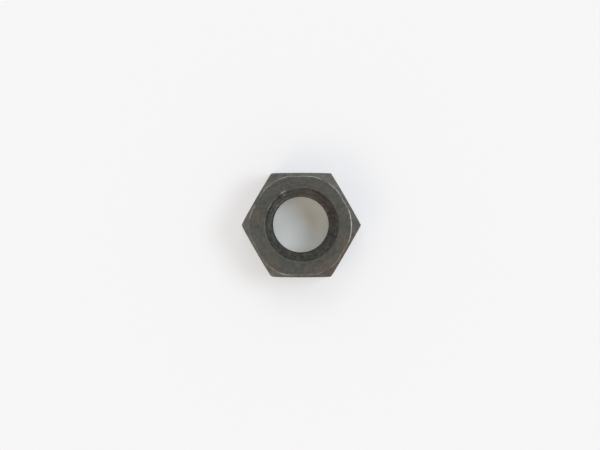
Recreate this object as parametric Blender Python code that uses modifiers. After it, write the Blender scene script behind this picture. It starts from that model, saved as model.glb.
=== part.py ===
"""A hexagon nut with a right-hand metric thread, machined from drawn hexagon bar.

The nut is one piece of steel. It stands on its lower bearing face, with the middle of that
face at the origin and the thread's axis along +Z. Two corners of the hexagon lie on the X axis.
It is made in the order a bar lathe would: the bar, both faces turned and chamfered, the core
drilled, both mouths countersunk, and the thread cut last. All sizes are in metres.
"""

import math

import bmesh
import bpy
from mathutils import Matrix

# The hexagon bar and the two turned faces.
SIDES = 6
WIDTH_ACROSS_FLATS = 0.0100
CORNER_RADIUS = 0.0002
THICKNESS = 0.0050
FACE_EDGE_INSET = 0.0002
CHAMFER_ANGLE = math.radians(30)

# The thread: its outer diameter, its pitch, and how much wider than nominal the core is drilled.
THREAD_DIAMETER = 0.0060
THREAD_PITCH = 0.0010
CORE_OVERSIZE = 0.0003
ROOT_FLAT = 0.000125
FLANK_ANGLE = math.radians(30)
THREAD_START = math.radians(118)
TURNS_PAST_EACH_END = 1

# The countersink at each mouth of the hole.
COUNTERSINK_MARGIN = 0.0005
COUNTERSINK_ANGLE = math.radians(45)

# How far a cutter reaches past the surface that it cuts, and how far the groove dips into the hole.
CUTTER_REACH = 0.0005
GROOVE_DIP = 0.0001

# Facets of a full turn, and of each rounded corner of the bar.
TURN_STEPS = 96
CORNER_STEPS = 4

MERGE_DISTANCE = 1e-7
SHARP_EDGE_ANGLE = math.radians(25)
STEEL_COLOUR = (0.089, 0.084, 0.074, 1.0)
STEEL_ROUGHNESS = 0.45

# Sizes that follow from the ones above.
HALF_SIDE_ANGLE = math.pi / SIDES
CORNER_TO_CORNER = WIDTH_ACROSS_FLATS / math.cos(HALF_SIDE_ANGLE)
FACE_RADIUS = WIDTH_ACROSS_FLATS / 2 - FACE_EDGE_INSET
THREAD_RADIUS = THREAD_DIAMETER / 2
CORE_RADIUS = (THREAD_DIAMETER - THREAD_PITCH + CORE_OVERSIZE) / 2
COUNTERSINK_RADIUS = THREAD_RADIUS + COUNTERSINK_MARGIN


def cleared_scene():
    """Removes what the scene holds, and adds one collection for the nut and one for its cutters."""
    for old in list(bpy.data.objects):
        bpy.data.objects.remove(old)
    collections = []
    for name in ("Hexagon nut", "Cutters"):
        collection = bpy.data.collections.new(name)
        bpy.context.scene.collection.children.link(collection)
        collections.append(collection)
    return collections


def linked(name, mesh, collection):
    """A new object of this mesh, in this collection."""
    made = bpy.data.objects.new(name, mesh)
    collection.objects.link(made)
    return made


def as_cutter(cutter):
    """Marks an object as a helper that shapes the nut and isn't part of it."""
    cutter.hide_render = True
    cutter.display_type = "WIRE"
    return cutter


def steel():
    """Blackened steel: dark, a little brown, and satin."""
    material = bpy.data.materials.new("Black oxide steel")
    material.use_nodes = True
    shader = material.node_tree.nodes["Principled BSDF"]
    shader.inputs["Base Color"].default_value = STEEL_COLOUR
    shader.inputs["Metallic"].default_value = 1.0
    shader.inputs["Roughness"].default_value = STEEL_ROUGHNESS
    return material


def hexagon_bar(collection):
    """The drawn bar that the nut is parted from, with its corners rounded, longer than the nut."""
    length = THICKNESS + 2 * (CORNER_RADIUS + CUTTER_REACH)
    mesh = bpy.data.meshes.new("hex_nut")
    shape = bmesh.new()
    bmesh.ops.create_cone(
        shape,
        cap_ends=True,
        segments=SIDES,
        radius1=CORNER_TO_CORNER / 2,
        radius2=CORNER_TO_CORNER / 2,
        depth=length,
        matrix=Matrix.Translation((0, 0, THICKNESS / 2)) @ Matrix.Rotation(HALF_SIDE_ANGLE, 4, "Z"),
    )
    shape.to_mesh(mesh)
    shape.free()
    bar = linked("hex_nut", mesh, collection)
    rounding = bar.modifiers.new("Drawn corners", "BEVEL")
    rounding.offset_type = "OFFSET"
    rounding.width = CORNER_RADIUS * math.tan(HALF_SIDE_ANGLE)
    rounding.segments = CORNER_STEPS
    return bar


def turned(name, profile, collection):
    """A solid of revolution about Z. The profile runs from the axis, down its outer side, to the axis."""
    mesh = bpy.data.meshes.new(name)
    points = [(radius, 0, height) for radius, height in profile]
    edges = [(i, i + 1) for i in range(len(points) - 1)]
    mesh.from_pydata(points, edges, [])
    made = linked(name, mesh, collection)
    screw = made.modifiers.new("Turn", "SCREW")
    screw.axis = "Z"
    screw.steps = TURN_STEPS
    screw.render_steps = TURN_STEPS
    screw.use_merge_vertices = True
    screw.merge_threshold = MERGE_DISTANCE
    return as_cutter(made)


def chamfered_disc(collection):
    """What the lathe leaves of the bar: two flat faces, each running out into a shallow cone."""
    reach = CORNER_TO_CORNER / 2 + CUTTER_REACH
    drop = (reach - FACE_RADIUS) * math.tan(CHAMFER_ANGLE)
    return turned(
        "chamfered_disc",
        [
            (0, THICKNESS),
            (FACE_RADIUS, THICKNESS),
            (reach, THICKNESS - drop),
            (reach, drop),
            (FACE_RADIUS, 0),
            (0, 0),
        ],
        collection,
    )


def core_and_countersinks(collection):
    """The drilled core with the countersink of each mouth, as one turned cutter."""
    depth = (COUNTERSINK_RADIUS - CORE_RADIUS) / math.tan(COUNTERSINK_ANGLE)
    flare = COUNTERSINK_RADIUS + CUTTER_REACH * math.tan(COUNTERSINK_ANGLE)
    return turned(
        "core_and_countersinks",
        [
            (0, THICKNESS + CUTTER_REACH),
            (flare, THICKNESS + CUTTER_REACH),
            (CORE_RADIUS, THICKNESS - depth),
            (CORE_RADIUS, depth),
            (flare, -CUTTER_REACH),
            (0, -CUTTER_REACH),
        ],
        collection,
    )


def thread_groove(collection):
    """The thread's groove as a helical ridge: its section, swept up and round, closed at both ends."""
    inner = CORE_RADIUS - GROOVE_DIP
    half_root = ROOT_FLAT / 2
    half_mouth = half_root + (THREAD_RADIUS - inner) * math.tan(FLANK_ANGLE)
    section = [
        (inner, -half_mouth),
        (THREAD_RADIUS, -half_root),
        (THREAD_RADIUS, half_root),
        (inner, half_mouth),
    ]
    turns = math.ceil(THICKNESS / THREAD_PITCH) + 2 * TURNS_PAST_EACH_END
    steps = turns * TURN_STEPS
    shape = bmesh.new()
    corners = [shape.verts.new((radius, 0, height)) for radius, height in section]
    start = shape.faces.new(corners)
    bmesh.ops.spin(
        shape,
        geom=[start, *start.edges, *start.verts],
        axis=(0, 0, 1),
        dvec=(0, 0, THREAD_PITCH / TURN_STEPS),
        angle=math.tau * turns,
        steps=steps,
        use_duplicate=False,
    )
    # The groove leaves the top countersink at THREAD_START.
    mouth_height = THICKNESS - (COUNTERSINK_RADIUS - THREAD_RADIUS) / math.tan(COUNTERSINK_ANGLE)
    turns_to_mouth = mouth_height / THREAD_PITCH
    first_angle = THREAD_START - math.tau * turns_to_mouth
    turned_to_start = Matrix.Rotation(first_angle, 4, "Z")
    lowered = Matrix.Translation((0, 0, -TURNS_PAST_EACH_END * THREAD_PITCH))
    bmesh.ops.transform(shape, matrix=lowered @ turned_to_start, verts=shape.verts)
    bmesh.ops.recalc_face_normals(shape, faces=shape.faces)
    mesh = bpy.data.meshes.new("thread_groove")
    shape.to_mesh(mesh)
    shape.free()
    return as_cutter(linked("thread_groove", mesh, collection))


def shaped_by(body, label, operation, cutter):
    """Adds a Boolean that shapes the body with a cutter."""
    cut = body.modifiers.new(label, "BOOLEAN")
    cut.operation = operation
    cut.solver = "EXACT"
    cut.object = cutter


def settle(body):
    """Keeps the shape that the modifiers give, as a plain mesh shaded smooth between its sharp edges."""
    graph = bpy.context.evaluated_depsgraph_get()
    finished = bpy.data.meshes.new_from_object(body.evaluated_get(graph))
    body.modifiers.clear()
    body.data = finished
    finished.shade_smooth()
    finished.set_sharp_from_angle(angle=SHARP_EDGE_ANGLE)


def build():
    nut_collection, cutter_collection = cleared_scene()
    nut = hexagon_bar(nut_collection)
    nut.data.materials.append(steel())
    shaped_by(nut, "Turn and chamfer", "INTERSECT", chamfered_disc(cutter_collection))
    shaped_by(nut, "Drill and countersink", "DIFFERENCE", core_and_countersinks(cutter_collection))
    shaped_by(nut, "Cut the thread", "DIFFERENCE", thread_groove(cutter_collection))
    settle(nut)


build()
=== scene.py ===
import math

import bpy
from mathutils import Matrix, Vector


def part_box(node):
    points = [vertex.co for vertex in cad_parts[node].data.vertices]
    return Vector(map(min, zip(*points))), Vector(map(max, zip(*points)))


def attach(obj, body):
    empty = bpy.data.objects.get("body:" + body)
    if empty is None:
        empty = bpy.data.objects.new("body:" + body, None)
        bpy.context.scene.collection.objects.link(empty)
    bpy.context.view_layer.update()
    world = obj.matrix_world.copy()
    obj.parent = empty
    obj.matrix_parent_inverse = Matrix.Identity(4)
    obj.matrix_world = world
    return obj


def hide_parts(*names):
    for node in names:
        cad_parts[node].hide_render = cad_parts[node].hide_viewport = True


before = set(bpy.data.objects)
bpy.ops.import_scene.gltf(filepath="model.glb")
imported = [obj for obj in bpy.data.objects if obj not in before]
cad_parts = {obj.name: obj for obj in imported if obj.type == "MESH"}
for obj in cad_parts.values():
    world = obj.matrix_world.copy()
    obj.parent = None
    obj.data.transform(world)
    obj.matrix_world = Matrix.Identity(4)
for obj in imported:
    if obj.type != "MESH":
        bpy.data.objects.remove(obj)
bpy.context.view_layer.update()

# The camera. It looks straight down on the nut's upper face through a long lens,
# and the nut lies a hair to the right of the picture's middle.
PICTURE_WIDTH_PX = 600
PICTURE_HEIGHT_PX = 450
FLATS_IN_PICTURE_PX = 104.7
NUT_MIDDLE_PX = (301.1, 225.1)
CAMERA_HEIGHT = 0.400
SENSOR_WIDTH_MM = 36.0
NEAREST_SEEN = 0.01

nut_low, nut_high = (Vector(corner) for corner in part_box("hex_nut"))
across_flats = nut_high.y - nut_low.y
thickness = nut_high.z - nut_low.z
px_per_metre = FLATS_IN_PICTURE_PX / across_flats

camera = bpy.data.objects.new("camera", bpy.data.cameras.new("camera"))
camera.data.sensor_width = SENSOR_WIDTH_MM
camera.data.lens = px_per_metre * (CAMERA_HEIGHT - thickness) * SENSOR_WIDTH_MM / PICTURE_WIDTH_PX
camera.data.clip_start = NEAREST_SEEN
camera.location = (
    -(NUT_MIDDLE_PX[0] - PICTURE_WIDTH_PX / 2) / px_per_metre,
    (NUT_MIDDLE_PX[1] - PICTURE_HEIGHT_PX / 2) / px_per_metre,
    CAMERA_HEIGHT,
)
bpy.context.scene.collection.objects.link(camera)
bpy.context.scene.camera = camera
bpy.context.scene.view_settings.view_transform = "Standard"


# The room. Its even, slightly warm light falls on the nut from all sides. What the camera and
# the steel's reflections see of it is paler, like the card that the nut lies on.
PALE = (0.925, 0.925, 0.930, 1.0)
SURROUND_LIGHT = (0.59, 0.55, 0.48, 1.0)


class Wire:
    """A socket of a node tree. Arithmetic on it adds the Math nodes that work the sum out."""

    def __init__(self, tree, socket=None):
        self.tree = tree
        self.socket = socket

    def node(self, kind, settings=None, sockets=None, output=0):
        """Adds a node: its type, its settings, and then the values or links of its sockets."""
        made = self.tree.nodes.new(kind)
        for name, value in (settings or {}).items():
            setattr(made, name, value)
        for name, value in (sockets or {}).items():
            if isinstance(value, Wire):
                self.tree.links.new(value.socket, made.inputs[name])
            else:
                made.inputs[name].default_value = value
        return Wire(self.tree, made.outputs[output] if made.outputs else None)

    def output(self, name):
        """Another output of the node that this one comes from."""
        return Wire(self.tree, self.socket.node.outputs[name])

    def maths(self, operation, *others):
        """A Math node on this value and others."""
        return self.node("ShaderNodeMath", {"operation": operation}, dict(enumerate((self, *others))))

    def __add__(self, other):
        return self.maths("ADD", other)

    def __sub__(self, other):
        return self.maths("SUBTRACT", other)

    def __rsub__(self, other):
        return self.maths("MULTIPLY_ADD", -1.0, other)

    def __mul__(self, other):
        return self.maths("MULTIPLY", other)

    def __truediv__(self, other):
        return self.maths("DIVIDE", other)

    def __pow__(self, other):
        return self.maths("POWER", other)

    __radd__ = __add__
    __rmul__ = __mul__

    def ramp(self, start, end, low=0.0, high=1.0, smooth=True):
        """What this value gives as it runs from start to end: from low to high, and held past both."""
        settings = {"interpolation_type": "SMOOTHSTEP" if smooth else "LINEAR"}
        sockets = {"Value": self, "From Min": start, "From Max": end, "To Min": low, "To Max": high}
        return self.node("ShaderNodeMapRange", settings, sockets)

    def band(self, start, full, fading, end):
        """1 while this value is between full and fading, and 0 before start and past end."""
        return self.ramp(start, full) * self.ramp(fading, end, 1.0, 0.0)


def fresh_nodes(owner):
    """The empty node tree of a material or a world, ready to be wired."""
    owner.use_nodes = True
    owner.node_tree.nodes.clear()
    return Wire(owner.node_tree)


world = bpy.data.worlds.new("room")
room = fresh_nodes(world)
rays = room.node("ShaderNodeLightPath")
direct = rays.output("Is Camera Ray").maths("MAXIMUM", rays.output("Is Glossy Ray"))
direct = direct.maths("MAXIMUM", rays.output("Is Transmission Ray"))
surround = room.node("ShaderNodeBackground", None, {"Color": SURROUND_LIGHT})
backdrop = room.node("ShaderNodeBackground", None, {"Color": PALE})
shown_room = room.node("ShaderNodeMixShader", None, {0: direct, 1: surround, 2: backdrop})
room.node("ShaderNodeOutputWorld", None, {"Surface": shown_room})
bpy.context.scene.world = world


# The table is plain white card, very slightly cool where it is fully lit. For the camera, a painted glow
# lifts its shadow round the nut halfway to white, so that the shadow is faint, and leaves it full under the
# nut's edge. Inside the hole the card lies in shade, which is tinted warmer as painted shade, and which the
# painted glow eases a little near the wall.
TABLE_HALF_WIDTH = 3.0
CARD_WHITE = (0.925, 0.925, 0.950, 1.0)
WARM_PAINTED_SHADE_IN_HOLE = (0.925, 0.92, 0.875, 1.0)
LIFT_OF_SHADOW = 0.50
LIFT_IN_HOLE = 0.13

# How many sides the nut has, how far out its shadow is full, and from where on the painted glow lifts it.
# The last two are shares of the distance from the nut's axis to its flats.
SIDES = 6
UNDER_NUT_UNTIL = 0.92
SHADE_ENDS_AT = 1.02

# In the hole, the painted glow eases the shade between the first two of these distances from the axis, and
# the hole gives way to the nut's underside between the other two.
HOLE_SHADE_EASES_FROM = 0.0005
HOLE_SHADE_EASES_TO = 0.0024
HOLE_ENDS_FROM = 0.0028
HOLE_ENDS_TO = 0.0034

table_mesh = bpy.data.meshes.new("table")
signs = ((-1, -1), (1, -1), (1, 1), (-1, 1))
corners = [(x * TABLE_HALF_WIDTH, y * TABLE_HALF_WIDTH, nut_low.z) for x, y in signs]
table_mesh.from_pydata(corners, [], [(0, 1, 2, 3)])
table = bpy.data.objects.new("table", table_mesh)
bpy.context.scene.collection.objects.link(table)

card = bpy.data.materials.new("white_card")
card_nodes = fresh_nodes(card)
place = card_nodes.node("ShaderNodeTexCoord", output="Object")
from_axis = card_nodes.node("ShaderNodeVectorMath", {"operation": "LENGTH"}, {0: place}, output="Value")
x = card_nodes.node("ShaderNodeSeparateXYZ", None, {0: place})
y = x.output("Y")


def square_to_side(side):
    """How far a point of the table lies from the axis, measured square to one side of the nut."""
    towards = math.tau * (side + 0.5) / SIDES
    return (x * math.cos(towards) + y * math.sin(towards)).maths("ABSOLUTE")


furthest_out = square_to_side(0)
for side in range(1, SIDES // 2):
    furthest_out = furthest_out.maths("MAXIMUM", square_to_side(side))
to_flats = across_flats / 2
outside = furthest_out.ramp(to_flats * UNDER_NUT_UNTIL, to_flats * SHADE_ENDS_AT)
inside = from_axis.ramp(HOLE_ENDS_FROM, HOLE_ENDS_TO, 1.0, 0.0)
# For camera rays only, the card glows: a painted glow lifts the shadow round the nut and eases the shade in
# the hole near the wall.
painted_easing = from_axis.ramp(HOLE_SHADE_EASES_FROM, HOLE_SHADE_EASES_TO) * inside
painted_lift = outside * LIFT_OF_SHADOW + painted_easing * LIFT_IN_HOLE
painted_lift = painted_lift * card_nodes.node("ShaderNodeLightPath", output="Is Camera Ray")
# Inside the hole the card takes a warmer colour, which is painted shade.
tints = {0: inside, 6: CARD_WHITE, 7: WARM_PAINTED_SHADE_IN_HOLE}
card_and_painted_hole_tint = card_nodes.node("ShaderNodeMix", {"data_type": "RGBA"}, tints, output=2)
lit_card = card_nodes.node("ShaderNodeBsdfDiffuse", None, {"Color": card_and_painted_hole_tint})
painted_glow = card_nodes.node("ShaderNodeEmission", None, {"Color": card_and_painted_hole_tint})
card_surface = card_nodes.node("ShaderNodeMixShader", None, {0: painted_lift, 1: lit_card, 2: painted_glow})
card_nodes.node("ShaderNodeOutputMaterial", None, {"Surface": card_surface})
table_mesh.materials.append(card)


# The lamps are three wide, soft ones: a cool key at the right, a cool one at the top of the
# picture, and a warm, weak one at the lower left. Each gives its share of the table's light.
COOL = (0.86, 0.99, 1.13)
WARM = (1.2, 1.0, 0.72)
LAMPS = {
    "key_at_right": {"towards": 12, "from_vertical": 33, "share": 0.27, "width": 26, "colour": COOL},
    "top_lamp": {"towards": 92, "from_vertical": 33, "share": 0.10, "width": 26, "colour": COOL},
    "warm_fill": {"towards": 225, "from_vertical": 38, "share": 0.09, "width": 30, "colour": WARM},
}

for name, lamp in LAMPS.items():
    sun = bpy.data.lights.new(name, "SUN")
    sun.angle = math.radians(lamp["width"])
    sun.color = lamp["colour"]
    sun.energy = lamp["share"] * math.pi / math.cos(math.radians(lamp["from_vertical"]))
    holder = bpy.data.objects.new(name, sun)
    holder.rotation_euler = (0, math.radians(lamp["from_vertical"]), math.radians(lamp["towards"]))
    bpy.context.scene.collection.objects.link(holder)


# The nut is one piece of blackened steel, made from drawn hexagon bar. Both faces are turned
# and chamfered, both mouths are countersunk, and the thread is cut through. No tool ran quite
# true with the bar: its circles lie a little off its axis, and the edges are worn round.
FACE_RADIUS = 0.00488
CHAMFER_ANGLE = math.radians(30)
COUNTERSINK_RADIUS = 0.00356
THREAD_RADIUS = 0.0030
CORE_RADIUS = 0.002675
PITCH = 0.0010
ROOT_FLAT = 0.000125
FLANK_ANGLE = math.radians(30)
THREAD_START = math.radians(118)
FLATS_CROWN = 0.00004

# How round the bar's corners are, and how much more on the side where they are worn. Both are
# shares of the distance from the axis to the flats.
CORNER_ROUNDING = 0.014
CORNER_WEAR = 0.012
CORNERS_WORN_TOWARDS = math.radians(220)

# How far inside the flats the edge of the face is rolled, and how much further at the upper right.
ROLLED_EDGE = 0.00027
ROLLED_EDGE_BLEND = 0.00008
ROLLED_MORE = 0.00008
ROLLED_MORE_TOWARDS = math.radians(60)
ROLLED_MORE_WITHIN = math.radians(30)
ROLLED_MORE_UNTIL = math.radians(65)

# How wide the edges are rounded, the most of the chamfer that this may take, how uneven it is
# round the nut, and how far from an edge its wear shows.
EDGE_WIDTH = 0.00006
EDGE_WIDTH_LIMIT = 0.35
EDGE_UNEVENNESS = 0.5
UNEVENNESS_CIRCLE = 2.5
UNEVENNESS_SEED = {"upper": 0.0, "lower": 9.0}
THREAD_EDGE_WIDTH = 0.00003
WEAR_WIDTH = 0.00015

# How far each turned circle lies off the axis, and towards which angle, at the upper and lower face.
FACE_RUNOUT = 0.00011
FACE_RUNS_TO = {"upper": math.radians(230), "lower": math.radians(70)}
COUNTERSINK_RUNOUT = 0.00009
COUNTERSINK_RUNS_TO = {"upper": math.radians(15), "lower": math.radians(160)}
CORE_RUNOUT = 0.00006
CORE_RUNS_TO = math.radians(113)

# The nick in the upper rim, where the thread starts. It goes out by its size, and down by half.
NICK_SIZE = 0.00006
NICK_HALF_ANGLE = math.radians(5)
NICK_FADES_OVER = 0.00013

# The mesh: its columns round the axis, which crowd at the corners, and its rows. Those over an
# edge reach past it by EDGE_MARGIN of its widths. At RIM_DEPTH, the outside's rows meet the hole's.
COLUMNS_A_SIDE = 72
CROWDING = 0.22
RIM_DEPTH = 0.00015
ROWS_A_PITCH = 28
ROWS_TO_RIM = 3
ROWS_OVER_EDGE = 8
ROWS_OVER_FACE = 6
ROWS_OVER_CHAMFER = 3
ROWS_OVER_FLAT = 5
EDGE_MARGIN = 1.3
MERGE_DISTANCE = 3e-7

tree = bpy.data.node_groups.new("hexagon_nut", "GeometryNodeTree")
tree.interface.new_socket("Geometry", in_out="OUTPUT", socket_type="NodeSocketGeometry")
nut_sizes = {
    "Across flats": across_flats,
    "Thickness": thickness,
    "Corner rounding": CORNER_ROUNDING,
    "Corner wear": CORNER_WEAR,
    "Crown of flats": FLATS_CROWN,
    "Face radius": FACE_RADIUS,
    "Rolled edge": ROLLED_EDGE,
    "Chamfer angle": CHAMFER_ANGLE,
    "Countersink radius": COUNTERSINK_RADIUS,
    "Thread radius": THREAD_RADIUS,
    "Core radius": CORE_RADIUS,
    "Pitch": PITCH,
    "Root flat": ROOT_FLAT,
    "Flank angle": FLANK_ANGLE,
    "Thread start": THREAD_START,
    "Rim depth": RIM_DEPTH,
    "Edge width": EDGE_WIDTH,
    "Edge unevenness": EDGE_UNEVENNESS,
    "Wear width": WEAR_WIDTH,
    "Thread edge width": THREAD_EDGE_WIDTH,
    "Face run-out": FACE_RUNOUT,
    "Countersink run-out": COUNTERSINK_RUNOUT,
    "Core run-out": CORE_RUNOUT,
    "Nick size": NICK_SIZE,
}
identifiers = {}
for name, value in nut_sizes.items():
    socket = tree.interface.new_socket(name, in_out="INPUT", socket_type="NodeSocketFloat")
    identifiers[name] = socket.identifier
given = Wire(tree).node("NodeGroupInput")
size = {name: given.output(name) for name in nut_sizes}


def point_grid(columns, rows):
    """A grid of faces. Gives it with how far round each point is, from 0 to 1, and its row's number."""
    sizes = {"Size X": 1.0, "Size Y": 1.0, "Vertices X": columns + 1, "Vertices Y": rows + 1}
    grid = given.node("GeometryNodeMeshGrid", None, sizes)
    place = given.node("GeometryNodeInputPosition")
    across = given.node("ShaderNodeSeparateXYZ", None, {0: place})
    return grid, across + 0.5, (across.output("Y") + 0.5) * rows


def angles_of(around):
    """The angle of a column about the axis, and its angle from the nearest corner of the hexagon."""
    sixths = around * SIDES
    corner = sixths.maths("ROUND")
    offset = sixths - corner
    # The columns draw in to the corner, and the one at the middle of a side stays where it is.
    crowded = offset * CROWDING + offset * offset * offset * (4 * (1 - CROWDING))
    side_angle = math.tau / SIDES
    return (corner + crowded) * side_angle, crowded * side_angle


def bar_reach(angle, from_corner):
    """How far the bar's side lies from its axis: six crowned flats, and corners worn more on one side."""
    half_side = math.pi / SIDES
    worn = (angle - CORNERS_WORN_TOWARDS).maths("COSINE") * size["Corner wear"]
    rounding = size["Corner rounding"] + worn
    # The two flats next to the nearest corner, which run into each other over the rounding.
    one = (half_side - from_corner).maths("COSINE")
    other = (half_side + from_corner).maths("COSINE")
    difference = one - other
    steepest = (one + other + (difference * difference + rounding * rounding).maths("SQRT")) * 0.5
    along = (half_side - from_corner.maths("ABSOLUTE")).maths("TANGENT") / math.tan(half_side)
    return (size["Across flats"] * 0.5 - size["Crown of flats"] * along * along) / steepest


def off_axis(angle, radius, runout, towards):
    """The reach of a turned circle whose middle lies off the axis."""
    return (angle - towards).maths("COSINE") * runout + radius


def face_reach(angle, side, end):
    """How far the turned face reaches: a circle off the axis, rolled in where it nears the flats."""
    circle = off_axis(angle, size["Face radius"], size["Face run-out"], FACE_RUNS_TO[end])
    more = (angle - ROLLED_MORE_TOWARDS).maths("COSINE")
    more = more.ramp(math.cos(ROLLED_MORE_UNTIL), math.cos(ROLLED_MORE_WITHIN)) * ROLLED_MORE
    return circle.maths("SMOOTH_MIN", side - (size["Rolled edge"] + more), ROLLED_EDGE_BLEND)


def uneven(angle, seed):
    """A slow change about 1 round the axis, for edges that are worn more in some places."""
    # The noise is read round a circle, so that it meets itself after a full turn.
    across = angle.maths("COSINE") * UNEVENNESS_CIRCLE
    up = angle.maths("SINE") * UNEVENNESS_CIRCLE
    place = given.node("ShaderNodeCombineXYZ", None, {"X": across, "Y": up, "Z": seed})
    noise = given.node("ShaderNodeTexNoise", None, {"Vector": place, "Scale": 1.0, "Detail": 2.0})
    return (noise - 0.5) * (size["Edge unevenness"] * 2) + 1.0


def row_stations(row, stops):
    """How far along the profile a row lies. Each stop is a row's number and its place on the profile."""
    station = None
    for (first, start), (last, end) in zip(stops, stops[1:]):
        stretch = row.ramp(first, last, 0.0, end - start, smooth=False)
        station = stretch if station is None else station + stretch
    return station


def rounded_corner(station, at, width):
    """How far past a corner a point of the profile is, with the corner itself rounded off."""
    return (station - at).maths("SMOOTH_MAX", 0.0, width)


def placed(grid, angle, reach, height):
    """Moves a grid's points to their reach and height at their angle about the axis."""
    across, up = angle.maths("COSINE") * reach, angle.maths("SINE") * reach
    place = grid.node("ShaderNodeCombineXYZ", None, {"X": across, "Y": up, "Z": height})
    return grid.node("GeometryNodeSetPosition", None, {"Geometry": grid, "Position": place})


def marked(part, name, amount):
    """Keeps a number on the points of the mesh, under a name that the finish reads."""
    settings = {"data_type": "FLOAT", "domain": "POINT"}
    sockets = {"Geometry": part, "Name": name, "Value": amount}
    return part.node("GeometryNodeStoreNamedAttribute", settings, sockets)


def outer_half(end):
    """Half of the nut's outside, from inside the countersink over the face and chamfer to mid-height."""
    rows = ROWS_TO_RIM + 3 * ROWS_OVER_EDGE + ROWS_OVER_FACE + ROWS_OVER_CHAMFER + ROWS_OVER_FLAT
    grid, around, row = point_grid(COLUMNS_A_SIDE * SIDES, rows)
    angle, from_corner = angles_of(around)
    side = bar_reach(angle, from_corner)
    rim = off_axis(angle, size["Countersink radius"], size["Countersink run-out"], COUNTERSINK_RUNS_TO[end])
    face = face_reach(angle, side, end)

    # Where the rim, the two edges of the chamfer and mid-height lie along the profile.
    slope, rise = size["Chamfer angle"].maths("COSINE"), size["Chamfer angle"].maths("SINE")
    chamfer = (side - face) / slope
    rim_at = size["Rim depth"] * math.sqrt(2)
    face_at = rim_at + face - rim
    side_at = face_at + chamfer
    end_at = side_at + size["Thickness"] * 0.5 - chamfer * rise

    rim_width = size["Edge width"]
    face_width = size["Edge width"] * uneven(angle, UNEVENNESS_SEED[end])
    face_width = face_width.maths("MINIMUM", chamfer * EDGE_WIDTH_LIMIT)
    edges = (
        (rim_at, rim_width, ROWS_TO_RIM),
        (face_at, face_width, ROWS_OVER_FACE),
        (side_at, face_width, ROWS_OVER_CHAMFER),
    )
    stops = [(0, 0.0)]
    for at, width, rows_before in edges:
        stops.append((stops[-1][0] + rows_before, at - width * EDGE_MARGIN))
        stops.append((stops[-1][0] + ROWS_OVER_EDGE, at + width * EDGE_MARGIN))
    stops.append((rows, end_at))
    station = row_stations(row, stops)

    past_rim, past_face, past_side = (rounded_corner(station, at, width) for at, width, _ in edges)
    half_turn = math.sqrt(0.5)
    reach = rim - size["Rim depth"] + station * half_turn + past_rim * (1 - half_turn)
    reach = reach + past_face * (slope - 1.0) - past_side * slope
    height = size["Thickness"] - size["Rim depth"] + station * half_turn - past_rim * half_turn
    height = height - past_face * rise - past_side * (1.0 - rise)

    nick = 0.0
    if end == "upper":
        nick = (angle - size["Thread start"]).maths("COSINE").ramp(math.cos(NICK_HALF_ANGLE), 1.0)
        nick = nick * station.band(rim_at * 0.5, rim_at, rim_at, rim_at + NICK_FADES_OVER)
        reach = reach + nick * size["Nick size"]
        height = height - nick * size["Nick size"] * 0.5
    else:
        height = size["Thickness"] - height

    # The marks are kept while the grid is still flat, because they are worked out from its places.
    for name, at in (("rim_edge", rim_at), ("face_edge", face_at), ("side_edge", side_at)):
        grid = marked(grid, name, (station - at).maths("ABSOLUTE").ramp(0.0, size["Wear width"], 1.0, 0.0))
    on_flat = station.ramp(side_at - face_width, side_at + face_width)
    from_edge = (from_corner * size["Across flats"]).maths("ABSOLUTE") * 0.5
    near_corner = from_edge.ramp(0.0, size["Wear width"] * 2, 1.0, 0.0)
    grid = marked(grid, "drawn_flat", on_flat)
    grid = marked(grid, "chamfer", station.ramp(face_at - face_width, face_at + face_width) - on_flat)
    grid = marked(grid, "in_hole", station.ramp(rim_at - rim_width, rim_at + rim_width, 1.0, 0.0))
    grid = marked(grid, "nick", nick)
    grid = marked(grid, "corner_edge", near_corner * on_flat)
    grid = marked(grid, "round_the_bar", angle * size["Across flats"] * 0.5)
    return placed(grid, angle, reach, height)


def threaded_hole():
    """The hole: rows that climb with the thread, held between the rims and opened by the countersinks."""
    turns_a_radian = 1 / math.tau
    to_mouth = thickness - (COUNTERSINK_RADIUS - THREAD_RADIUS)
    # Before the rows are held, the lowest one lies no higher than RIM_DEPTH over the lower face at any
    # angle, and the highest one no lower than RIM_DEPTH under the upper face.
    first_pitch = (RIM_DEPTH - to_mouth) / PITCH - 1 + THREAD_START * turns_a_radian
    last_pitch = (thickness - RIM_DEPTH - to_mouth) / PITCH + THREAD_START * turns_a_radian
    lowest = math.floor(first_pitch * ROWS_A_PITCH)
    highest = math.ceil(last_pitch * ROWS_A_PITCH)
    grid, around, row = point_grid(COLUMNS_A_SIDE * SIDES, highest - lowest)
    angle, _ = angles_of(around)
    pitches = (row + lowest) / ROWS_A_PITCH
    mouth = size["Thickness"] - (size["Countersink radius"] - size["Thread radius"])
    climb = (angle - size["Thread start"]) * turns_a_radian + pitches
    height = (mouth + climb * size["Pitch"]).maths("MAXIMUM", size["Rim depth"])
    height = height.maths("MINIMUM", size["Thickness"] - size["Rim depth"])

    from_root = (pitches - pitches.maths("ROUND")).maths("ABSOLUTE") * size["Pitch"]
    down_flank = (from_root - size["Root flat"] * 0.5).maths("SMOOTH_MAX", 0.0, size["Thread edge width"])
    groove = size["Thread radius"] - down_flank / size["Flank angle"].maths("TANGENT")
    reach = groove.maths("SMOOTH_MAX", size["Core radius"], size["Thread edge width"])
    reach = reach + (angle - CORE_RUNS_TO).maths("COSINE") * size["Core run-out"]
    for end, depth in (("upper", size["Thickness"] - height), ("lower", height)):
        runout = size["Countersink run-out"]
        cone = off_axis(angle, size["Countersink radius"], runout, COUNTERSINK_RUNS_TO[end]) - depth
        reach = reach.maths("SMOOTH_MAX", cone, size["Thread edge width"])
    return placed(marked(grid, "in_hole", 1.0), angle, reach, height)


def joined(*parts):
    """Several geometries as one."""
    made = given.tree.nodes.new("GeometryNodeJoinGeometry")
    for part in parts:
        given.tree.links.new(part.socket, made.inputs[0])
    return Wire(given.tree, made.outputs[0])


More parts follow.
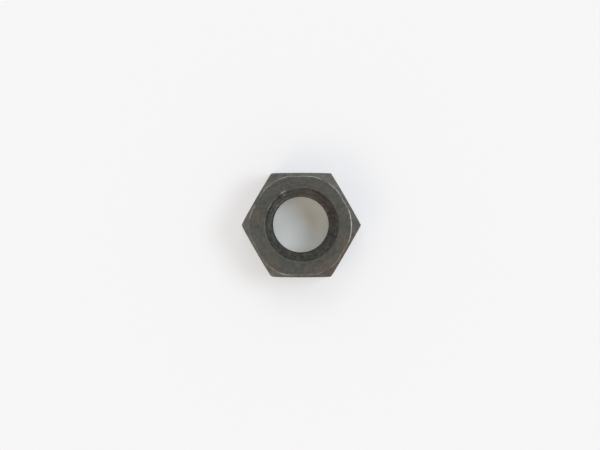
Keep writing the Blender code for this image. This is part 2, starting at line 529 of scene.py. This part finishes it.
inward_facing = joined(outer_half("upper"), threaded_hole())
turned_out = given.node("GeometryNodeFlipFaces", None, {"Mesh": inward_facing})
whole = joined(turned_out, outer_half("lower"))
whole = given.node("GeometryNodeMergeByDistance", None, {"Geometry": whole, "Distance": MERGE_DISTANCE})
whole = given.node("GeometryNodeSetShadeSmooth", None, {"Geometry": whole, "Shade Smooth": True})
whole = given.node("GeometryNodeRealizeInstances", None, {"Geometry": whole})


# The finish is a thin black oxide from a hot bath, grey and olive where it is rubbed and brown
# where it is thick. It is worn through to bare steel along some edges, and a little rust and old
# grime lie on it. Its lengths are in millimetres, and its directions in degrees about the axis.
MM_PER_METRE = 1000.0
SCRATCH_STRETCH = 0.05
SCRATCH_FADES_FROM = 0.012
SCRATCH_FADES_TO = 0.04

steel = bpy.data.materials.new("black_oxide_steel")
finish = fresh_nodes(steel)
place = finish.node("ShaderNodeTexCoord", output="Object")
place = finish.node("ShaderNodeVectorMath", {"operation": "SCALE"}, {0: place, "Scale": MM_PER_METRE})
x = finish.node("ShaderNodeSeparateXYZ", None, {0: place})
y, z = x.output("Y"), x.output("Z")
from_axis = (x * x + y * y) ** 0.5

# The mask of the upper half, and how far inside the nearer face a point lies.
top_mm = thickness * MM_PER_METRE
upper = z.ramp(top_mm * 0.4, top_mm * 0.6)
depth = z.maths("MINIMUM", top_mm - z)


def kept(name):
    """A number that was kept on the points of the mesh."""
    return finish.node("ShaderNodeAttribute", {"attribute_name": name}, output="Fac")


rim_edge, face_edge = kept("rim_edge"), kept("face_edge")
side_edge, corner_edge = kept("side_edge"), kept("corner_edge")
drawn_flat, chamfer = kept("drawn_flat"), kept("chamfer")
in_hole, nick = kept("in_hole"), kept("nick")
turned = (1 - drawn_flat) * (1 - in_hole)


def cloud(per_mm, seed, detail=2.0, along_axis=1.0):
    """A cloudy pattern from 0 to 1, with so many clouds a millimetre, and a share of that up the axis."""
    scale = (per_mm, per_mm, per_mm * along_axis)
    sockets = {0: place, 1: scale, 2: (seed, seed, seed)}
    where = finish.node("ShaderNodeVectorMath", {"operation": "MULTIPLY_ADD"}, sockets)
    return finish.node("ShaderNodeTexNoise", None, {"Vector": where, "Scale": 1.0, "Detail": detail})


def patchy(per_mm, seed, starts, full, detail=2.0, low=0.0, high=1.0):
    """Patches in the cloudy pattern: low where it stays under starts, and high where it passes full."""
    return cloud(per_mm, seed, detail).ramp(starts, full, low, high)


def arc(middle, half_width, softness):
    """1 within so many degrees of a direction from the axis, fading out beyond."""
    middle, half_width, softness = (math.radians(value) for value in (middle, half_width, softness))
    cosine = (x * math.cos(middle) + y * math.sin(middle)) / from_axis
    return cosine.ramp(math.cos(half_width + softness), math.cos(half_width))


def arcs(rows):
    """Several arcs at once. Each row is an arc's direction, half width and softness, and its strength."""
    return sum(arc(*where) * strength for *where, strength in rows)


def spots(rows):
    """Soft round spots. Each row is a spot's place and reach in millimetres, and its strength."""
    total = 0.0
    for *centre, reach, strength in rows:
        sockets = {0: place, 1: centre}
        away = finish.node("ShaderNodeVectorMath", {"operation": "DISTANCE"}, sockets, output="Value")
        total = total + away.ramp(0.0, reach, 1.0, 0.0) * strength
    return total


def scratches(surface, rows):
    """Fine scratches on a flat surface. Each row is how many a millimetre, their tilt, and a seed."""
    total = 0.0
    for per_mm, tilt, seed in rows:
        sockets = {"Vector": surface, "Angle": math.radians(tilt)}
        tilted = finish.node("ShaderNodeVectorRotate", {"rotation_type": "Z_AXIS"}, sockets)
        # The surface is split into long thin cells, and the middle of each is a scratch.
        sockets = {0: tilted, 1: (per_mm * SCRATCH_STRETCH, per_mm, 0.0), 2: (seed, seed, 0.0)}
        cells = finish.node("ShaderNodeVectorMath", {"operation": "MULTIPLY_ADD"}, sockets)
        sockets = {"Vector": cells, "Scale": 1.0}
        from_middle = finish.node("ShaderNodeTexVoronoi", {"voronoi_dimensions": "2D"}, sockets)
        total = total + from_middle.ramp(SCRATCH_FADES_FROM, SCRATCH_FADES_TO, 1.0, 0.0)
    return total


def laid_over(under, over, mask):
    """A colour laid over another where the mask is 1."""
    return finish.node("ShaderNodeMix", {"data_type": "RGBA"}, {0: mask, 6: under, 7: over}, output=2)


# Bare steel shows in worn stretches along the edge of the upper face, in patches along that of the
# lower one, faintly along the rims and the ends of the flats, down the bar's corners, and at a few
# spots in the upper countersink and the first turn of the thread. The stretches along the upper face's
# edge, the stretch on the rims at the upper left and the nick are partly wear and partly painted
# glints, and the spots are painted glints.
FACE_WEAR_AND_GLINT_ALONG = (
    (-1, 15, 6, 0.68), (25, 7, 6, 0.16), (48, 6, 6, 0.34), (74, 4, 6, 0.44), (97, 12, 6, 0.20),
    (118, 8, 6, 0.22), (133, 2, 6, 0.42), (144, 4, 6, 0.15), (165, 4, 6, 0.46), (195, 9, 6, 0.08),
    (232, 3, 6, 0.14), (243, 5, 6, 0.28), (252, 1, 6, 0.42), (268, 10, 6, 0.12), (287, 6, 6, 0.22),
    (314, 5, 6, 0.34), (332, 6, 6, 0.20),
)
RIM_WEAR_AND_GLINT_ALONG = ((150, 4, 4, 0.30),)
PAINTED_GLINT_SPOTS = (
    (-1.61, 2.89, 4.76, 0.20, 0.80), (-1.13, -2.79, 4.45, 0.20, 0.28), (0.29, -2.81, 4.30, 0.20, 0.28),
)
LOWER_FACE_WORN = 0.60
SIDE_EDGE_WORN = 0.15
RIM_WORN = 0.04
NICK_WEAR_AND_GLINT = 0.45
CORNER_HELD_BACK = 0.30
CORNER_FREE_FROM_DEPTH = (0.45, 1.0)
CORNER_RAGGEDNESS = 1.1

# Where bare steel starts to show and where it shows in full, on an edge's mark, which is 1 on the
# edge. CORNER_BARE is read on the corner's mark once that is held back and made ragged.
FACE_EDGE_BARE = (0.5, 1.0)
OTHER_EDGES_BARE = (0.6, 1.0)
CORNER_BARE = (0.8, 1.1)
CORNER_BARE_WITHIN = (0.3, 0.6)

patches = patchy(2.4, seed=3.0, detail=3.0, starts=0.36, full=0.6, low=0.45)
lower_worn = patchy(0.8, seed=17.0, starts=0.45, full=0.65) * LOWER_FACE_WORN
# The stretches along the upper face's edge are partly wear and partly painted glints.
face_wear_and_glint = arcs(FACE_WEAR_AND_GLINT_ALONG) * upper + lower_worn * (1 - upper)
bare_and_glints = face_edge.ramp(*FACE_EDGE_BARE) * face_wear_and_glint * patches
side_worn = patchy(1.7, seed=5.0, starts=0.5, full=0.7) * SIDE_EDGE_WORN
bare_and_glints = bare_and_glints + side_edge.ramp(*OTHER_EDGES_BARE) * side_worn

held_back = depth.ramp(*CORNER_FREE_FROM_DEPTH, CORNER_HELD_BACK, 0.0)
ragged = (cloud(1.5, seed=6.0, detail=4.0) - 0.5) * CORNER_RAGGEDNESS
corner_worn = (corner_edge - held_back + ragged).ramp(*CORNER_BARE) * corner_edge.ramp(*CORNER_BARE_WITHIN)
bare_and_glints = bare_and_glints + corner_worn * patchy(0.7, seed=10.0, starts=0.35, full=0.65, low=0.12, high=0.42)

# The stretch on the rims at the upper left is partly wear and partly a painted glint.
rim_wear_and_glint = arcs(RIM_WEAR_AND_GLINT_ALONG) + patchy(1.1, seed=8.0, starts=0.5, full=0.68) * RIM_WORN
bare_and_glints = bare_and_glints + rim_edge.ramp(*OTHER_EDGES_BARE) * rim_wear_and_glint
# The spots are painted glints, and the nick is worn bare and also carries a painted glint.
glints_and_nick = spots(PAINTED_GLINT_SPOTS) + nick * NICK_WEAR_AND_GLINT
bare_and_glints = bare_and_glints + glints_and_nick * patchy(7.0, seed=13.0, starts=0.35, full=0.6, low=0.4, high=1.3)
bare_and_glints = bare_and_glints.maths("MINIMUM", 1.0)


# Rust has started in spots on the upper face, most of them at the lower right, in flecks on one
# side of the upper countersink, and thinly in a few patches elsewhere.
RUST_SPOTS = (
    (3.1, -3.7, top_mm, 0.7, 0.70), (2.4, -4.1, top_mm, 0.8, 0.50), (3.6, -3.1, top_mm, 0.6, 0.50),
    (4.0, -2.4, top_mm, 0.7, 0.40), (4.3, -1.2, top_mm, 1.1, 0.40), (4.1, -2.0, top_mm, 0.9, 0.32),
    (2.8, -4.7, top_mm, 0.5, 0.40), (1.9, -4.3, top_mm, 0.9, 0.40), (0.8, -4.3, top_mm, 0.9, 0.20),
    (-2.5, -4.0, top_mm, 0.8, 0.30), (-4.2, 0.9, top_mm, 1.3, 0.28), (0.6, 3.35, top_mm, 0.6, 0.50),
    (2.8, 2.0, top_mm, 0.8, 0.20), (5.3, -0.9, top_mm, 0.8, 0.35),
)
COUNTERSINK_RUSTY_ALONG = ((52, 44, 15, 0.60),)
RUST_ELSEWHERE = 0.25

rust = spots(RUST_SPOTS) + patchy(0.45, seed=21.0, starts=0.6, full=0.75) * RUST_ELSEWHERE
rust = rust * patchy(2.2, seed=11.0, detail=4.0, starts=0.2, full=0.75, low=0.35, high=1.2)
rust_flecks = patchy(4.5, seed=77.0, detail=3.0, starts=0.54, full=0.7)
rust = rust + rust_flecks * arcs(COUNTERSINK_RUSTY_ALONG) * in_hole * upper
rust = rust.maths("MINIMUM", 1.0)


# The oxide's own colours: olive and brown in clouds, paler where the bar was drawn and where the
# chamfers and corners are rubbed, browner on one side of the countersink, and grimy in the thread.
OLIVE_OXIDE = (0.066, 0.066, 0.057, 1.0)
BROWN_OXIDE = (0.071, 0.065, 0.057, 1.0)
RUBBED_OXIDE = (0.128, 0.121, 0.108, 1.0)
DRAWN_OXIDE = (0.092, 0.088, 0.079, 1.0)
COUNTERSINK_OXIDE = (0.091, 0.089, 0.079, 1.0)
COUNTERSINK_BROWN = (0.091, 0.079, 0.071, 1.0)
THREAD_GRIME = (0.050, 0.043, 0.036, 1.0)
RUST = (0.108, 0.066, 0.048, 1.0)
BARE_STEEL = (0.42, 0.40, 0.37, 1.0)
CHAMFER_RUBBED = 0.74
CHAMFER_UNEVENNESS = 1.5
CHAMFER_RUBBED_ALONG = ((65, 14, 8, 0.22), (170, 8, 6, 0.24), (250, 8, 6, 0.20), (333, 40, 20, -0.34))
CORNER_RUBBED = 0.35
COUNTERSINK_BROWN_ALONG = ((72, 48, 16, 1.0),)
GRIMY_FROM_DEPTH = (0.8, 1.6)
GRIME = 0.8

rubbed = arcs(CHAMFER_RUBBED_ALONG) + (cloud(1.6, seed=24.0) - 0.5) * CHAMFER_UNEVENNESS + CHAMFER_RUBBED
rubbed = chamfer * rubbed + corner_edge * CORNER_RUBBED
browned = arcs(COUNTERSINK_BROWN_ALONG) * patchy(1.5, seed=27.0, starts=0.35, full=0.6) * in_hole * upper
brown_clouds = patchy(0.9, seed=0.0, detail=3.0, starts=0.42, full=0.6)
colour = laid_over(OLIVE_OXIDE, BROWN_OXIDE, brown_clouds)
colour = laid_over(colour, DRAWN_OXIDE, drawn_flat)
colour = laid_over(colour, RUBBED_OXIDE, rubbed)
colour = laid_over(colour, COUNTERSINK_OXIDE, in_hole)
colour = laid_over(colour, COUNTERSINK_BROWN, browned)
colour = laid_over(colour, THREAD_GRIME, in_hole * depth.ramp(*GRIMY_FROM_DEPTH) * GRIME)


# The marks of handling and of the tools: fine scratches all over the outside, rings on the turned
# faces, and streaks up the drawn flats.
SCRATCHES_ON_FLATS = ((1.1, 12, 61.0), (2.3, -35, 65.0), (3.1, 68, 71.0), (1.9, 95, 73.0))
SCRATCHES_ON_FACES = ((1.3, 25, 62.0), (1.7, -50, 66.0), (2.6, 100, 72.0))
SCRATCHED_LESS_ON_FACES = 0.5
RINGS_PER_MM = 11.0

unrolled = finish.node("ShaderNodeCombineXYZ", None, {"X": kept("round_the_bar") * MM_PER_METRE, "Y": z})
scratched = scratches(unrolled, SCRATCHES_ON_FLATS) * drawn_flat
scratched = scratched + scratches(place, SCRATCHES_ON_FACES) * turned * SCRATCHED_LESS_ON_FACES
ring_place = {"W": (from_axis + z) * RINGS_PER_MM, "Scale": 1.0, "Detail": 2.0}
rings = finish.node("ShaderNodeTexNoise", {"noise_dimensions": "1D"}, ring_place)
streaks = cloud(14.0, seed=39.0, along_axis=0.02) + cloud(4.0, seed=45.0, along_axis=0.05) - 1.0


# How much lighter or darker than its colour the surface is, as shares of it: the oxide's own tone, and in
# places painted light and shade. Clouds of three sizes lie on all of it, and the faces, the flats and the
# hole each add their own.
BLOTCHES = 0.50
MOTTLING = 0.90
MOTTLING_LESS_ON_FLATS = 0.35
SPECKLE = 0.50
SCRATCH_SHINE = 0.50
STREAKS = 0.36
RINGS = 0.12
RINGS_STRONGER_ALONG = ((92, 24, 14, 0.30),)
FACE_LIGHTER_ALONG = ((212, 20, 16, 0.05),)
FACE_DARKER_ALONG = ((132, 30, 15, 0.07), (288, 28, 14, 0.07))
FACE_DARKER_UNTIL = (3.9, 4.25)
# The rims' edge is darker towards the left, as painted shade that tones down its highlight there.
RIM_PAINTED_SHADE_ALONG = ((182, 42, 24, 0.08),)

shade = (cloud(0.8, seed=35.0) - 0.5) * BLOTCHES + (cloud(13.0, seed=37.0) - 0.5) * SPECKLE + 1.0
shade = shade + (cloud(3.0, seed=31.0) - 0.5) * (MOTTLING - drawn_flat * MOTTLING_LESS_ON_FLATS)
shade = shade + scratched * SCRATCH_SHINE + streaks * drawn_flat * STREAKS
face_shade = (rings - 0.5) * (arcs(RINGS_STRONGER_ALONG) + RINGS) + arcs(FACE_LIGHTER_ALONG)
face_shade = face_shade - arcs(FACE_DARKER_ALONG) * from_axis.ramp(*FACE_DARKER_UNTIL, 1.0, 0.0)
shade = shade + face_shade * turned - rim_edge * arcs(RIM_PAINTED_SHADE_ALONG)

# The hole is more blotched, with pale and dark flecks. Painted light makes it paler towards the top and its
# cone paler towards the upper left, and painted shade makes it a little darker at the right. Painted shade
# also darkens the strip under the rim and the first crest and flank of the thread, most towards the upper
# left.
HOLE_BLOTCHES = 1.30
HOLE_SPECKLE = 0.60
PALE_FLECKS = 0.32
DARK_FLECKS = 0.22
HOLE_PAINTED_LIGHT_AND_SHADE_ALONG = ((105, 32, 20, 0.20), (10, 30, 20, -0.06))
UNDER_RIM = (0.02, 0.08, 0.15, 0.28)
UNDER_RIM_PAINTED_SHADE = 0.08
UNDER_RIM_PAINTED_SHADE_ALONG = ((120, 60, 20, 0.24),)
UPPER_CONE = (0.20, 0.30, 0.45, 0.55)
UPPER_CONE_PAINTED_LIGHT_ALONG = ((148, 14, 12, 0.18),)
LOWER_CONE = (0.25, 0.42, 0.58, 0.72)
LOWER_CONE_PAINTED_LIGHT_ALONG = ((120, 60, 20, 0.28),)
FROM_FIRST_CREST = (0.64, 0.76)
FROM_FIRST_CREST_PAINTED_SHADE_ALONG = ((160, 58, 15, 0.27), (0, 20, 15, 0.12))
FIRST_FLANK_RADII = (2.82, 2.90, 2.96, 3.03)
FIRST_FLANK_PAINTED_SHADE_ALONG = ((136, 36, 14, 0.20),)

hole_shade = (cloud(3.0, seed=33.0) - 0.5) * HOLE_BLOTCHES + (cloud(9.0, seed=49.0) - 0.5) * HOLE_SPECKLE
hole_shade = hole_shade + patchy(6.5, seed=57.0, detail=3.0, starts=0.56, full=0.7) * PALE_FLECKS
hole_shade = hole_shade - patchy(6.5, seed=59.0, detail=3.0, starts=0.56, full=0.7) * DARK_FLECKS
hole_shade = hole_shade + arcs(HOLE_PAINTED_LIGHT_AND_SHADE_ALONG)
hole_shade = hole_shade + depth.band(*UPPER_CONE) * arcs(UPPER_CONE_PAINTED_LIGHT_ALONG)
hole_shade = hole_shade + depth.band(*LOWER_CONE) * arcs(LOWER_CONE_PAINTED_LIGHT_ALONG)
hole_shade = hole_shade - depth.band(*UNDER_RIM) * (arcs(UNDER_RIM_PAINTED_SHADE_ALONG) + UNDER_RIM_PAINTED_SHADE)
hole_shade = hole_shade - depth.ramp(*FROM_FIRST_CREST) * arcs(FROM_FIRST_CREST_PAINTED_SHADE_ALONG)
hole_shade = hole_shade - from_axis.band(*FIRST_FLANK_RADII) * arcs(FIRST_FLANK_PAINTED_SHADE_ALONG)
shade = shade + hole_shade * in_hole

colour = finish.node("ShaderNodeVectorMath", {"operation": "SCALE"}, {0: colour, "Scale": shade})
colour = laid_over(colour, RUST, rust)
colour = laid_over(colour, BARE_STEEL, bare_and_glints)


# The heights of the marks, in thousandths of a millimetre, and how rough and how metallic the surface
# is: rust is rough and dull, bare steel is smoother, and the thread is rougher than the rest.
METRES_PER_MICRON = 1e-6
RING_HEIGHT = 1.6
DRAWING_HEIGHT = 2.0
GRAIN_HEIGHT = 0.8
RUST_HEIGHT = 4.0
SCRATCH_DEPTH = 1.0
OXIDE_ROUGHNESS = 0.42
ROUGHNESS_VARIES = 0.25
RUST_ROUGHER = 0.30
BARE_SMOOTHER = 0.10
THREAD_ROUGHER = 0.20
THREAD_ROUGHER_INSIDE = (3.1, 2.9)
OXIDE_METALLIC = 0.88
RUST_LESS_METALLIC = 0.60

height = rings * (1 - drawn_flat) * RING_HEIGHT - scratched * SCRATCH_DEPTH
height = height + cloud(9.0, seed=41.0, along_axis=0.03) * drawn_flat * DRAWING_HEIGHT
height = height + cloud(22.0, seed=43.0) * GRAIN_HEIGHT + cloud(9.0, seed=47.0) * rust * RUST_HEIGHT
relief = {"Strength": 1.0, "Distance": METRES_PER_MICRON, "Height": height}
relief = finish.node("ShaderNodeBump", None, relief)
roughness = (cloud(2.5, seed=53.0, detail=3.0) - 0.5) * ROUGHNESS_VARIES + OXIDE_ROUGHNESS
roughness = roughness + rust * RUST_ROUGHER - bare_and_glints * BARE_SMOOTHER
roughness = roughness + in_hole * from_axis.ramp(*THREAD_ROUGHER_INSIDE) * THREAD_ROUGHER
metallic = OXIDE_METALLIC - rust * RUST_LESS_METALLIC

shader = finish.node("ShaderNodeBsdfPrincipled", None, {
    "Base Color": colour, "Metallic": metallic, "Roughness": roughness, "Normal": relief})
finish.node("ShaderNodeOutputMaterial", None, {"Surface": shader})


# The finished nut: the tree's result as one plain mesh, which rides on the only body and stands
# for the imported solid.
whole = given.node("GeometryNodeSetMaterial", None, {"Geometry": whole, "Material": steel})
given.node("NodeGroupOutput", None, {"Geometry": whole})

carrier = bpy.data.objects.new("nut_carrier", bpy.data.meshes.new("nut_carrier"))
bpy.context.scene.collection.objects.link(carrier)
modifier = carrier.modifiers.new("hexagon_nut", "NODES")
modifier.node_group = tree
for name, value in nut_sizes.items():
    modifier[identifiers[name]] = value
graph = bpy.context.evaluated_depsgraph_get()
nut_mesh = bpy.data.meshes.new_from_object(carrier.evaluated_get(graph))
bpy.data.objects.remove(carrier)
nut = bpy.data.objects.new("hexagon_nut", nut_mesh)
bpy.context.scene.collection.objects.link(nut)

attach(nut, "root")
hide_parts("hex_nut")
